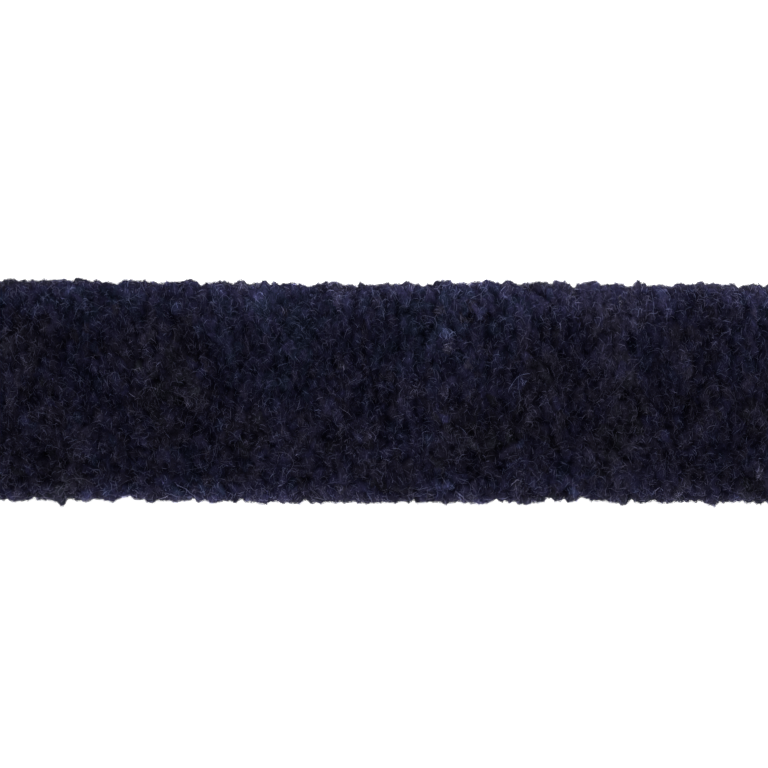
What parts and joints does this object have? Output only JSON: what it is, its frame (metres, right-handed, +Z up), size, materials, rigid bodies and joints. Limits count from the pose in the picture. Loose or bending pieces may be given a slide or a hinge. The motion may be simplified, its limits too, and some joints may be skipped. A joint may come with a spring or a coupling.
{
  "type": "tufted braid trim",
  "caption": "Cut length of wide trimming braid: a dense navy wool cut pile with a soft, uneven tufted rim on a flat plaited ground, lying pile side up.",
  "frame": {"origin": "middle of the ground's flat underside, the face that is sewn or glued down", "axes": "+X along the braid, +Y across it to the edge that is at the top of the picture, +Z up out of the pile"},
  "size_m": [0.2013, 0.0534, 0.0096],
  "materials": {
    "navy_wool_pile": "matt wool cut pile, near-black navy, in small clumps with a few bluer and paler tufts and loose curled hairs",
    "navy_ground": "matt plaited navy strands"
  },
  "bodies": {
    "root": {"ground_braid": "navy_ground", "pile": "navy_wool_pile"}
  },
  "joints": []
}
